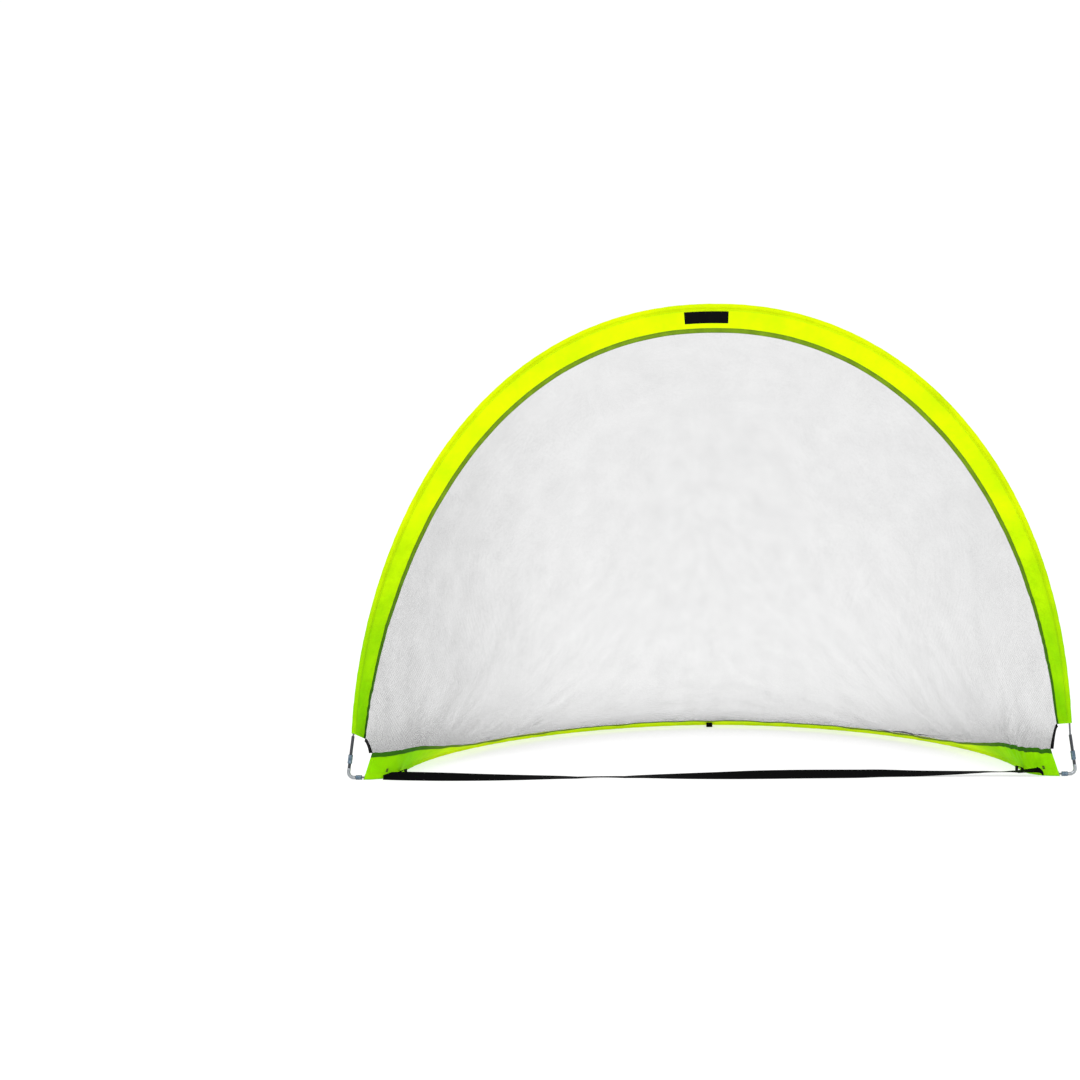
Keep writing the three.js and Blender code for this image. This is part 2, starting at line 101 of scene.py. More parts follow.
# Fold marks across the arch band, as parts of its length
ARCH_CREASES = (0.2, 0.31, 0.44, 0.57, 0.665, 0.762, 0.788, 0.868, 0.949)
CREASE_DEPTH, CREASE_WIDTH = 0.9 * MM, 3.5 * MM

NECK_RADIUS, COLLAR_RADIUS, ELBOW_RADIUS, FERRULE_RADIUS = 3.2 * MM, 4 * MM, 4.5 * MM, 6 * MM
FIT_GAP = 0.3 * MM
NECK_BORE, TUBE_BORE, ELBOW_BORE = NECK_RADIUS + FIT_GAP, 3.3 * MM, 2 * MM
ELBOW_BEND = 13 * MM
UPPER_SHOULDER = 30 * MM  # height of the step down to the neck, on the corner post
LOWER_SHOULDER = 18 * MM  # the same on the lower leg, from the corner post inwards
# A shoulder's own shape: distance towards the neck, and radius there
SHOULDER = ((-0.8 * MM, ELBOW_RADIUS), (0, NECK_RADIUS + 0.7 * MM), (0.4 * MM, NECK_RADIUS))
CORNER_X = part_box("lower_ferrule_right")[1].x + LOWER_SHOULDER + FIT_GAP
POST_LEAN = math.radians(8.2)
POST_PIVOT_Z = AXIS_Z + ELBOW_BEND

TACK_LEFT, TACK_RIGHT = 55 * MM, 34 * MM  # from the base band's ends
TACK_ROWS, TACK_PITCH, TACK_SPAN = 4, 1.6 * MM, (11 * MM, 23 * MM)
TACK_STITCH = {"stitch": 2.6 * MM, "pitch": 1.9 * MM, "thread": 0.9 * MM}
PEG_LOOP_WIDTH, PEG_LOOP_WALL, PEG_LOOP_CORNER = 17 * MM, 1.8 * MM, 2.4 * MM
SIDE_LOOP_TURN = math.radians(75)  # round the ground loop's corner
SIDE_LOOP = {"away": FIT_GAP, "length": 17 * MM, "near": 12 * MM, "far": 18.4 * MM}
REAR_LOOP = {"away": 3 * FIT_GAP, "length": 34 * MM, "near": 5.8 * MM, "far": 13.6 * MM}
BINDING_WIDTH, BINDING_THICKNESS = 9 * MM, 2.2 * MM
BINDING_MIDDLE = 3.5 * MM  # its middle line, out from the net's cut edge
PATCH_INNER, PATCH_OUTER = 13 * MM, 44 * MM  # the crown patch's edges, out from the rod

STRAP_WIDTH, STRAP_THICKNESS = 25 * MM, 1.6 * MM
# The strap's middle line: distance across the mouth, distance back and lift in
# millimetres, twist in degrees, and width as a part of the full width
STRAP_ROUTE = [
    (-828, -1, 0, 57, 0.5),
    (-806, -4, 0, 55, 0.9),
    (-771, -9, 0, 53, 1),
    (-681, -18, 0, 48, 1),
    (-580, -17, 0, 34, 1),
    (-479, -9, 0, 21, 1),
    (-378, 6, 0, 7, 1),
    (-278, 14, 0, -6, 1),
    (-176, 13, 0, 6, 1),
    (-75, -3, 0, 22, 1),
    (26, -12, 0, 36, 1),
    (126, -15, 0, 50, 1),
    (227, -12, 0, 53, 1),
    (377, -6, 0, 47, 1),
    (428, 2, 0.5, 40, 1),
    (529, 6, 1.5, 25, 1),
    (631, 7, 6.4, 8, 1),
    (683, 7, 9.3, -1, 1),
    (735, 4, 8.3, -8, 1),
    (765, 1, 11, -1, 1),
    (795, -2, 11.2, 9, 1),
    (822, -4, 11.6, 18, 1),
]
# The strap's loose tail, in millimetres from the route's last point
TAIL_START, TAIL_END, TAIL_BOW = (-4, -7, 7), (13, -9, -8), (3.5, 0, 2.5)

ARCH_ROWS, BASE_ROWS = 760, 640  # how finely the two bands are divided along the rod
NET_COLUMNS, NET_ROWS, BINDING_ROWS = 480, 120, 25

# ---------------- curves


def unit(vectors):
    return vectors / np.linalg.norm(vectors, axis=-1, keepdims=True)


def distance_along(points):
    """Each point's distance along the line that the points make."""
    return np.concatenate([[0], np.cumsum(np.linalg.norm(np.diff(points, axis=0), axis=1))])


def read_at(places, run, values):
    """Rows of values, read at places along a run."""
    return np.stack([np.interp(places, run, column) for column in values.T], -1)


def between_knots(t, start, end, first, last):
    return ((end - t) * first + (t - start) * last) / (end - start)


def smooth_curve(points, per_span=16):
    """Centripetal Catmull-Rom curve through the points."""
    p = np.asarray(points, float)
    p = np.vstack([2 * p[0] - p[1], p, 2 * p[-1] - p[-2]])
    k = np.concatenate([[0], np.cumsum(np.linalg.norm(np.diff(p, axis=0), axis=1) ** 0.5)])
    pieces = []
    for i in range(1, len(p) - 2):
        t = np.linspace(k[i], k[i + 1], per_span, endpoint=False)[:, None]
        a1 = between_knots(t, k[i - 1], k[i], p[i - 1], p[i])
        a2 = between_knots(t, k[i], k[i + 1], p[i], p[i + 1])
        a3 = between_knots(t, k[i + 1], k[i + 2], p[i + 1], p[i + 2])
        b1 = between_knots(t, k[i - 1], k[i + 1], a1, a2)
        b2 = between_knots(t, k[i], k[i + 2], a2, a3)
        pieces.append(between_knots(t, k[i], k[i + 1], b1, b2))
    return np.vstack([*pieces, p[-2]])


class Line:
    """A curve that is read by the distance along it."""

    def __init__(self, points):
        self.points = np.asarray(points, float)
        self.run = distance_along(self.points)
        self.length = self.run[-1]
        self.slopes = unit(np.gradient(self.points, self.run, axis=0))

    def at(self, distance):
        """Places and directions at the distances."""
        places, slopes = (read_at(distance, self.run, values) for values in (self.points, self.slopes))
        return places, unit(slopes)


def superellipse(angle, power):
    """Parts of the half width and of the height, on a rounded arch."""
    return np.abs(np.cos(angle)) ** (2 / power), np.abs(np.sin(angle)) ** (2 / power)


def arch_line(count=81):
    """The arch rod, from the left end of its sleeve to the right one."""
    left, right = (math.asin((z / ARCH_RISE) ** (ARCH_POWER / 2)) for z in SLEEVE_START_Z)
    angle = np.linspace(left, math.pi - right, count)
    across, up = superellipse(angle, ARCH_POWER)
    side = np.where(angle < math.pi / 2, -1, 1)
    height = ARCH_RISE * up
    sway = ARCH_SWAY * (1 - np.exp(-((height / ARCH_SWAY_REACH) ** 2)))
    points = np.stack([side * ARCH_HALF_WIDTH * across + sway, np.full(count, FRONT_Y), height], -1)
    return Line(smooth_curve(points))


def base_line(corner_count=8, half_count=41):
    """The ground loop's rod: a tight corner, then a wide sweep to the rear, mirrored."""
    turn = np.arange(corner_count) * LOOP_CORNER_TURN / corner_count
    x = -LOOP_START_X + LOOP_CORNER_RADIUS * np.sin(turn)
    y = LOOP_CORNER_RADIUS * (1 - np.cos(turn))
    sweep_start = LOOP_CORNER_RADIUS * (1 - math.cos(LOOP_CORNER_TURN))
    start = math.asin((sweep_start / LOOP_DEPTH) ** (LOOP_POWER / 2))
    across, back = superellipse(np.linspace(start, math.pi / 2, half_count), LOOP_POWER)
    x = np.concatenate([x, -LOOP_HALF_WIDTH * across])
    y = np.concatenate([y, LOOP_DEPTH * back])
    left = np.stack([x, FRONT_Y + y, np.full(len(x), AXIS_Z)], -1)
    right = left[-2::-1] * [-1, 1, 1]
    return Line(smooth_curve(np.vstack([left, right])))


# ---------------- cloth bands


def waves(along, across, pitch, lean, seed):
    """Uneven ripples between -1 and 1, about one pitch apart, leaning across the cloth."""
    draw = np.random.default_rng(seed)
    total = 0
    for stretch in (1, 0.61, 1.73):
        phase, slope = draw.uniform(0, 2 * math.pi), draw.uniform(0.5, 1.5)
        place = along + lean * slope * across
        total = total + np.sin(2 * math.pi * place / (pitch * stretch) + phase)
    return total / 3


def rise(value, start, end):
    """Smooth step from 0 at start to 1 at end."""
    t = np.clip((value - start) / (end - start), 0, 1)
    return t * t * (3 - 2 * t)


def arch_ripple(line, s, a):
    """Depth of the arch band's ripples: slow swells, fine crinkles low down, and fold marks."""
    height = line.at(s)[0][..., 2]
    low = 1 - rise(height, 0.35, 0.95)
    patchy = 0.5 + 0.5 * waves(s, a, pitch=0.31, lean=0, seed=3)
    depth = 1.1 * MM * waves(s, a, pitch=0.17, lean=0.3, seed=1)
    depth = depth + 1.5 * MM * low * patchy * waves(s, a, pitch=0.036, lean=0.9, seed=2)
    for k, crease in enumerate(ARCH_CREASES):
        lean = 0.25 * math.sin(5 * k)
        away = s - crease * line.length - lean * a
        depth = depth + CREASE_DEPTH * np.exp(-((away / CREASE_WIDTH) ** 2))
    return depth * rise(a, SEAM, BAND_WIDTH)


def base_ripple(line, s, a):
    """Depth of the base band's ripples: slow swells, and crumples towards both ends."""
    left = np.exp(-((s / 0.15) ** 2))
    right = np.exp(-(((line.length - s) / 0.17) ** 2))
    depth = 1.6 * MM * waves(s, a, pitch=0.15, lean=0.2, seed=11)
    depth = depth + 5.5 * MM * right * waves(s, a, pitch=0.034, lean=-0.35, seed=12)
    depth = depth + 1.8 * MM * left * waves(s, a, pitch=0.05, lean=0.9, seed=13)
    return depth * rise(a, SEAM, BAND_WIDTH)


def arch_direction(c, w, run):
    """Which way the arch band runs out from the rod: inwards, tilted to the back."""
    low = 1 - c[..., 2:] / ARCH_HEIGHT
    tilt = np.radians(ARCH_TILT_TOP + ARCH_TILT_GAIN * np.maximum(low, 0) ** ARCH_TILT_POWER)
    inward = np.stack([w[..., 2], 0 * run, -w[..., 0]], -1)
    return inward * np.cos(tilt) + np.array([0, 1, 0]) * np.sin(tilt)


def base_direction(c, w, run):
    """Which way the base band runs out from the rod: inwards, lifted off the ground."""
    near_end = np.exp(-((run / BASE_LIFT_REACH) ** 2))
    lift = np.radians(BASE_LIFT_REAR + BASE_LIFT_GAIN * near_end)[..., None]
    inward = np.stack([w[..., 1], -w[..., 0], 0 * run], -1)
    return inward * np.cos(lift) + np.array([0, 0, 1]) * np.sin(lift)


class Band:
    """A sleeve's band. A point is s along the rod, a out from the rod and b off the middle layer."""

    def __init__(self, line, direction, end_slant, ripple):
        self.line, self.length = line, line.length
        self.direction, self.end_slant, self.ripple = direction, end_slant, ripple

    def stations(self, count):
        """Distances along the rod, closer together towards both ends."""
        t = np.linspace(0, 1, count)
        return self.length * (t - CROWDING * np.sin(2 * math.pi * t) / (2 * math.pi))

    def run(self, s):
        """Distance from the nearer end."""
        return np.minimum(s, self.length - s)

    def directions(self, s):
        """The rod's place, the ways out, off the cloth and along, and the slant of the ends."""
        c, w = self.line.at(s)
        run = self.run(s)
        u = self.direction(c, w, run)
        shift = np.where(s < self.length / 2, self.end_slant[0], -self.end_slant[1])
        slant = shift * np.exp(-run / SLANT_REACH) / BAND_WIDTH
        return c, unit(u), unit(np.cross(w, u)), w, slant

    def point(self, s, a, b=0.0, rippled=True):
        s, a, b = np.broadcast_arrays(np.asarray(s, float), a, b)
        c, u, v, w, slant = self.directions(s)
        if rippled:
            b = b + self.ripple(self.line, s, np.abs(a))
        return c + u * a[..., None] + v * b[..., None] + w * (slant * a)[..., None]


ARCH = Band(arch_line(), arch_direction, ARCH_END_SLANT, arch_ripple)
BASE = Band(base_line(), base_direction, BASE_END_SLANT, base_ripple)

# ---------------- meshes


def mesh_piece(name, points, faces, material):
    data = bpy.data.meshes.new(name)
    data.from_pydata(points.tolist(), [], faces)
    data.polygons.foreach_set("use_smooth", [True] * len(data.polygons))
    data.update()
    piece = bpy.data.objects.new(name, data)
    bpy.context.scene.collection.objects.link(piece)
    data.materials.append(material)
    return piece


def grid_faces(rows, columns, round_rows=False, round_columns=False):
    faces = []
    for i in range(rows if round_rows else rows - 1):
        for j in range(columns if round_columns else columns - 1):
            k, m = (i + 1) % rows, (j + 1) % columns
            faces.append((i * columns + j, i * columns + m, k * columns + m, k * columns + j))
    return faces


def grid_piece(name, grid, material, closed=False, caps=False, looped=False):
    """A piece from a grid of points. closed joins its last column to its first, looped its rows."""
    rows, columns = grid.shape[:2]
    faces = grid_faces(rows, columns, looped, closed)
    if caps:
        faces.append(tuple(range(columns))[::-1])
        faces.append(tuple((rows - 1) * columns + j for j in range(columns)))
    return mesh_piece(name, grid.reshape(-1, 3), faces, material)


def mark(piece, name, values):
    """Stores a number or a vector for each point, for the materials."""
    values = np.asarray(values, np.float32)
    vector = values.ndim == 2
    attribute = piece.data.attributes.new(name, "FLOAT_VECTOR" if vector else "FLOAT", "POINT")
    attribute.data.foreach_set("vector" if vector else "value", values.ravel())


def cloth_marks(piece, along, across, tone):
    """Marks where each point lies on the flat cloth, and its painted shade: greener and darker where it is
    low. On the net it is how much the threads cover.
    """
    shape = np.broadcast_shapes(np.shape(along), np.shape(across))
    along, across, tone = (np.broadcast_to(x, shape).ravel() for x in (along, across, tone))
    mark(piece, "cloth", np.stack([along, across, 0 * along], -1))
    mark(piece, "tone", tone)


def fold_flat(piece, middle):
    """Bakes the piece's placing into its points; the cloth is not bent about the fold axis. middle, each
    point's own middle line, is not used."""
    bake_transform(piece)
    middle = middle.reshape(-1, 3)


def tube(centres, radii, sides=32):
    """Grid of a round tube along centres that lie in a plane across Y."""
    slopes = unit(np.gradient(centres, axis=0))
    u = unit(np.cross(slopes, [0.0, 1.0, 0.0]))
    v = np.cross(slopes, u)
    angle = np.linspace(0, 2 * math.pi, sides, endpoint=False)[None, :, None]
    radii = np.broadcast_to(radii, len(centres))[:, None, None]
    return centres[:, None] + radii * (u[:, None] * np.cos(angle) + v[:, None] * np.sin(angle))


def stitch_piece(name, points, normals, material, stitch=3.2 * MM, pitch=4.6 * MM, thread=0.45 * MM):
    """A row of stitches along a line that lies on cloth, and each stitch's place on the line."""
    run = distance_along(points)
    places = np.arange(pitch, run[-1] - pitch, pitch)
    centre = read_at(places, run, points)
    normal = unit(read_at(places, run, normals))
    along = unit(read_at(places + 1 * MM, run, points) - centre)
    side = np.cross(along, normal)
    corners = [along * stitch / 2, side * thread, normal * thread, -side * thread, -normal * thread]
    corners.append(-along * stitch / 2)
    grid = np.stack([centre + corner for corner in corners], 1).reshape(-1, 3)
    faces = []
    for first in range(0, len(grid), len(corners)):
        for i in range(4):
            p, q = first + 1 + i, first + 1 + (i + 1) % 4
            faces += [(first, p, q), (first + 5, q, p)]
    piece = mesh_piece(name, grid, faces, material)
    return piece, np.repeat(places, len(corners))


# ---------------- materials


class Shader:
    """A Principled material, with short calls that add nodes to it."""

    def __init__(self, name, **constants):
        self.material = bpy.data.materials.new(name)
        self.material.use_nodes = True
        self.tree = self.material.node_tree
        self.bsdf = next(n for n in self.tree.nodes if n.type == "BSDF_PRINCIPLED")
        for socket, value in constants.items():
            self.bsdf.inputs[socket.replace("_", " ")].default_value = value

    def put(self, socket, value):
        if isinstance(value, bpy.types.NodeSocket):
            self.tree.links.new(value, socket)
        elif socket.type == "VECTOR":
            socket.default_value = value[:3]
        else:
            socket.default_value = value

    def node(self, kind, inputs=(), **settings):
        made = self.tree.nodes.new(kind)
        for key, value in settings.items():
            setattr(made, key, value)
        for key, value in dict(inputs).items():
            self.put(made.inputs[key], value)
        return made

    def math(self, operation, first, second=0.0, third=0.0):
        made = self.node("ShaderNodeMath", {0: first, 1: second, 2: third}, operation=operation)
        return made.outputs[0]

    def attribute(self, name):
        return self.node("ShaderNodeAttribute", attribute_name=name)

    def place(self):
        """Place on the piece, for a grain that stays with it."""
        return self.node("ShaderNodeTexCoord").outputs["Object"]

    def noise(self, vector, scale, detail=2.0, roughness=0.5):
        inputs = {"Vector": vector, "Scale": scale, "Detail": detail, "Roughness": roughness}
        return self.node("ShaderNodeTexNoise", inputs).outputs["Fac"]

    def between(self, value, low, high, out_low=0.0, out_high=1.0):
        inputs = {"Value": value, "From Min": low, "From Max": high}
        inputs |= {"To Min": out_low, "To Max": out_high}
        return self.node("ShaderNodeMapRange", inputs).outputs["Result"]

    def mix(self, factor, first, second):
        made = self.node("ShaderNodeMix", data_type="RGBA")
        self.put(made.inputs["Factor"], factor)
        self.put(made.inputs[6], first)
        self.put(made.inputs[7], second)
        return made.outputs[2]

    def scaled(self, colour, factor):
        made = self.node("ShaderNodeVectorMath", {0: colour, "Scale": factor}, operation="SCALE")
        return made.outputs[0]

    def split(self, vector):
        return self.node("ShaderNodeSeparateXYZ", {0: vector}).outputs

    def ribs(self, distance, pitch, sharp=1.0):
        """Ribs between 0 and 1, a pitch apart."""
        wave = self.math("SINE", self.math("MULTIPLY", distance, 2 * math.pi / pitch))
        lifted = self.math("MULTIPLY_ADD", wave, 0.5, 0.5)
        return lifted if sharp == 1 else self.math("POWER", lifted, sharp)

    def bump(self, height, distance, strength=1.0, under=None):
        inputs = {"Height": height, "Distance": distance, "Strength": strength}
        if under is not None:
            inputs["Normal"] = under
        return self.node("ShaderNodeBump", inputs).outputs["Normal"]

    def see_through(self, share, colour, normal):
        """Lets a share of the light through to the other side."""
        thin = self.node("ShaderNodeBsdfTranslucent", {"Color": colour, "Normal": normal})
        both = self.node("ShaderNodeMixShader", {0: share, 1: self.bsdf.outputs[0], 2: thin.outputs[0]})
        output = next(n for n in self.tree.nodes if n.type == "OUTPUT_MATERIAL")
        self.put(output.inputs["Surface"], both.outputs[0])

    def finish(self, **links):
        for socket, value in links.items():
            self.put(self.bsdf.inputs[socket.replace("_", " ")], value)
        return self.material


def weave_height(shader, cloth, pitch):
    """Plain weave: warp and weft threads that pass over each other."""
    warp, weft = (shader.ribs(cloth[axis], pitch) for axis in (0, 1))
    no_warp, no_weft = (shader.math("SUBTRACT", 1.0, threads) for threads in (warp, weft))
    over, under = shader.math("MULTIPLY", warp, weft), shader.math("MULTIPLY", no_warp, no_weft)
    return shader.math("ADD", over, under)


# The lime cloth, lit and in painted shade: two copies of one lime, mixed by the cloth's painted shade.
LIME_LIT = (0.80, 0.97, 0.0025, 1)
LIME_SHADED = (0.33, 0.78, 0.002, 1)
HEM_DARK = (0.012, 0.03, 0.006, 1)
# The lime under the hem's mesh, in painted shade and lit.
HEM_SHADED = (0.035, 0.19, 0.003, 1)
HEM_LIT = (0.25, 0.42, 0.014, 1)
NET_BLACK = (0.012, 0.012, 0.014, 1)
NET_PITCH = 2.4 * MM
NET_SHARE = 0.36  # average of the thread pattern
FIBRE_DARK, FIBRE_LIGHT = (0.075, 0.08, 0.09, 1), (0.16, 0.17, 0.18, 1)


def lime_fabric():
    """Lime polyester taffeta in painted shade, greener and darker where the shade value is low, with soft
    wrinkles and a fine weave whose hollows are painted darker.
    """
    s = Shader("lime_taffeta", Specular_IOR_Level=0.02)
    cloth = s.attribute("cloth").outputs["Vector"]
    tone = s.attribute("tone").outputs["Fac"]
    patches = s.noise(cloth, 9.0, 3.0)
    streaks = s.noise(cloth, 55.0, 3.0, 0.6)
    # Painted shade: the cloth's shade value, with random patches, mixes shaded lime into lit lime.
    shade_and_patches = s.math("ADD", tone, s.between(patches, 0.3, 0.7, -0.16, 0.16))
    colour = s.mix(shade_and_patches, LIME_SHADED, LIME_LIT)
    clouds = s.between(patches, 0.25, 0.75, 0.93, 1.06)
    value = s.math("MULTIPLY", clouds, s.between(streaks, 0.2, 0.8, 0.94, 1.05))
    axes = s.split(cloth)
    threads = weave_height(s, axes, 0.9 * MM)
    # Painted shade in the weave: the hollows between the threads are darker.
    value = s.math("MULTIPLY", value, s.between(threads, 0.0, 1.0, 0.93, 1.03))
    wrinkles = s.bump(streaks, 1.6 * MM, 0.5)
    woven = s.bump(threads, 0.12 * MM, 0.5, wrinkles)
    rough = s.between(streaks, 0.2, 0.8, 0.5, 0.68)
    cloth_colour = s.scaled(colour, value)
    s.see_through(0.4, cloth_colour, woven)
    return s.finish(Base_Color=cloth_colour, Roughness=rough, Normal=woven)


def hem_fabric():
    """The net's doubled edge, sewn over lime cloth: dark mesh with lime showing through, the lime in
    painted shade, greener and darker where the shade value is low.
    """
    s = Shader("mesh_hem", Specular_IOR_Level=0.05)
    cloth = s.attribute("cloth").outputs["Vector"]
    tone = s.attribute("tone").outputs["Fac"]
    axes = s.split(cloth)
    lean = s.math("ADD", axes[0], axes[1])
    back = s.math("SUBTRACT", axes[0], axes[1])
    holes = s.math("MULTIPLY", s.ribs(lean, 2.6 * MM), s.ribs(back, 2.6 * MM))
    patches = s.noise(cloth, 28.0, 3.0)
    uneven = s.between(patches, 0.3, 0.7, -0.12, 0.12)
    share = s.math("ADD", s.between(holes, 0.05, 0.7, -0.22, 0.3), uneven)
    # Painted shade: the lime showing through is shaded or lit by the cloth's shade value.
    light = s.mix(tone, HEM_SHADED, HEM_LIT)
    colour = s.mix(s.math("ADD", share, 0.62), HEM_DARK, light)
    return s.finish(Base_Color=colour, Roughness=0.75, Normal=s.bump(holes, 0.4 * MM, 0.6))


def net_fabric():
    """Fine black mesh: crossed threads that let through most of what is behind them."""
    s = Shader("black_mesh", Base_Color=NET_BLACK, Roughness=0.7, Specular_IOR_Level=0.2)
    cloth = s.attribute("cloth").outputs["Vector"]
    axes = s.split(cloth)
    down = s.math("MULTIPLY", axes[1], 0.8)
    lean, back = s.math("ADD", axes[0], down), s.math("SUBTRACT", axes[0], down)
    threads = s.math("MAXIMUM", s.ribs(lean, NET_PITCH, 3.0), s.ribs(back, NET_PITCH, 3.0))
    uneven = s.between(s.noise(cloth, 14.0, 4.0, 0.65), 0.25, 0.75, 0.84, 1.16)
    grain = s.between(s.noise(cloth, 190.0, 2.0, 0.6), 0.25, 0.75, 0.88, 1.12)
    density = s.math("MULTIPLY", s.attribute("tone").outputs["Fac"], s.math("MULTIPLY", uneven, grain))
    cover = s.math("MULTIPLY", threads, s.math("DIVIDE", density, NET_SHARE))
    return s.finish(Alpha=s.math("MINIMUM", cover, 1.0))


def webbing(name, colour, rib=1.4 * MM):
    """Woven webbing: cords across its width over lengthwise threads, dusty in places. The cords' tops are
    painted lighter and the grooves darker, as painted shade.
    """
    s = Shader(name, Specular_IOR_Level=0.03)
    cloth = s.attribute("cloth").outputs["Vector"]
    axes = s.split(cloth)
    cords = s.ribs(axes[0], rib)
    warp = s.ribs(axes[1], 1.9 * MM)
    height = s.math("ADD", cords, s.math("MULTIPLY", warp, 0.6))
    dust = s.noise(cloth, 38.0, 4.0, 0.6)
    dusty = s.between(dust, 0.3, 0.75, 0.8, 1.35)
    # Painted shade on the raised cords and grooves, times real dust.
    value = s.math("MULTIPLY", s.between(height, 0.0, 1.6, 0.7, 1.35), dusty)
    rough = s.between(dust, 0.3, 0.7, 0.5, 0.72)
    normal = s.bump(height, 0.35 * MM, 0.7)
    return s.finish(Base_Color=s.scaled(colour, value), Roughness=rough, Normal=normal)


def thread(name, colour):
    """Twisted sewing thread."""
    s = Shader(name, Specular_IOR_Level=0.3)
    twist = s.noise(s.place(), 900.0, 1.0)
    value = s.between(twist, 0.3, 0.7, 0.8, 1.15)
    return s.finish(Base_Color=s.scaled(colour, value), Roughness=0.6)


def metal(name, colour, rough, stain, metallic=1.0):
    """Plated steel with faint drawing lines and dull stains."""
    s = Shader(name, Metallic=metallic)
    spot = s.place()
    axes = s.split(spot)
    squeezed = s.math("MULTIPLY", axes[2], 0.12)
    stretched = s.node("ShaderNodeCombineXYZ", {0: axes[0], 1: axes[1], 2: squeezed})
    drawn = s.noise(stretched.outputs[0], 1400.0, 2.0)
    stains = s.noise(spot, 130.0, 4.0, 0.65)
    shade = s.mix(s.between(stains, 0.42, 0.7), colour, stain)
    dulled = s.between(stains, 0.3, 0.7, rough - 0.06, rough + 0.14)
    roughness = s.math("ADD", dulled, s.between(drawn, 0.3, 0.7, -0.03, 0.03))
    return s.finish(Base_Color=shade, Roughness=roughness, Normal=s.bump(drawn, 0.05 * MM, 0.4))


def vinyl(name, colour):
    """Black vinyl tubing with fine scuffs."""
    s = Shader(name, Specular_IOR_Level=0.5, Coat_Weight=0.08, Coat_Roughness=0.3)
    scuffs = s.noise(s.place(), 420.0, 5.0, 0.7)
    value = s.between(scuffs, 0.35, 0.75, 0.85, 1.5)
    rough = s.between(scuffs, 0.3, 0.7, 0.34, 0.55)
    normal = s.bump(scuffs, 0.06 * MM, 0.5)
    return s.finish(Base_Color=s.scaled(colour, value), Roughness=rough, Normal=normal)


def fibreglass():
    """Grey fibreglass rod with a fine grain of fibres."""
    s = Shader("fibreglass_rod", Specular_IOR_Level=0.5)
    fibres = s.noise(s.place(), 700.0, 3.0, 0.6)
    colour = s.mix(s.between(fibres, 0.35, 0.65), FIBRE_DARK, FIBRE_LIGHT)
    return s.finish(Base_Color=colour, Roughness=0.42, Normal=s.bump(fibres, 0.05 * MM, 0.4))


LIME = lime_fabric()
HEM = hem_fabric()
NET = net_fabric()
WEBBING = webbing("black_webbing", (0.0015, 0.0015, 0.0017, 1))
BINDING = webbing("black_binding", (0.003, 0.003, 0.0034, 1), 0.9 * MM)
PATCH = webbing("woven_patch", (0.003, 0.003, 0.0035, 1), 0.8 * MM)
LIME_THREAD = thread("lime_thread", (0.36, 0.62, 0.004, 1))
GREEN_THREAD = thread("green_thread", (0.03, 0.075, 0.012, 1))
BROWN_THREAD = thread("brown_thread", (0.045, 0.022, 0.012, 1))
STEEL = metal("bright_steel", (0.38, 0.4, 0.42, 1), 0.24, (0.24, 0.26, 0.28, 1))
ZINC = metal("zinc_ferrule", (0.075, 0.12, 0.165, 1), 0.32, (0.2, 0.26, 0.31, 1), 0.85)
VINYL = vinyl("black_vinyl", (0.016, 0.019, 0.026, 1))
FIBREGLASS = fibreglass()

# ---------------- sleeves, hems and net


def arch_painted_shade(s):
    """Painted shade of the cloth: greener and darker towards the ground."""
    height = ARCH.line.at(s)[0][..., 2]
    return 0.1 + 0.9 * rise(height, 0.15, 0.85)


def base_painted_shade(s):
    """Painted shade of the cloth: greener and darker towards the front corners."""
    return 0.02 + 0.9 * rise(BASE.run(s), 0.12, 0.5)


def sleeve_section(flat_count=15, pocket_count=23):
    """Section of a sleeve, from the hem on its front, round the rod pocket and back to the hem."""
    out = np.linspace(BAND_WIDTH, SEAM, flat_count)
    turn = np.linspace(-POCKET_OPEN, POCKET_OPEN - 2 * math.pi, pocket_count)
    front = np.stack([out, np.full(flat_count, -BAND_LAYER)], -1)
    pocket = POCKET_RADIUS * np.stack([np.cos(turn), np.sin(turn)], -1)
    return np.vstack([front, pocket, front[::-1] * [1, -1]])


def sleeve(name, band, tone, rows, node):
    """A fabric sleeve with its rod pocket, and the girth of its cloth."""
    section = sleeve_section()
    s = band.stations(rows)[:, None]
    a, b = section.T[:, None]
    in_pocket = 1 - rise(a, 4 * MM, SEAM)
    girth = distance_along(section)
    puff = 1 + 0.07 * in_pocket * waves(s, girth[None], pitch=0.045, lean=0.6, seed=21)
    piece = grid_piece(name, band.point(s, a * puff, b * puff), LIME)
    cloth_marks(piece, s, girth[None], tone(s))
    fold_flat(piece, band.point(s, np.where(in_pocket > 0.5, 0, a), rippled=False))
    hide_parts(node)
    return piece, float(girth[-1])


def hem(name, band, tone, rows, node):
    """The net's doubled edge, wrapped over the band's inner edge."""
    front = np.array(HEM_FACE) * [1, -HEM_HALF]
    section = np.vstack([front, [[HEM_END, 0]], front[::-1] * [1, -1]])
    s = band.stations(rows)[:, None]
    a, b = section.T[:, None]
    piece = grid_piece(name, band.point(s, a, b), HEM)
    cloth_marks(piece, s, distance_along(section)[None], tone(s))
    fold_flat(piece, band.point(s, a, rippled=False))
    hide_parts(node)
    return piece


def seam(name, band, s, a, b, material, **size):
    """A row of stitches on one face of a band, along the points s, a."""
    s, a = np.broadcast_arrays(s, a)
    points = band.point(s, a, b)
    normals = band.directions(s)[2] * math.copysign(1, b)
    piece, places = stitch_piece(name, points, normals, material, **size)
    s, a = (np.interp(places, distance_along(points), values) for values in (s, a))
    fold_flat(piece, band.point(s, a, rippled=False))


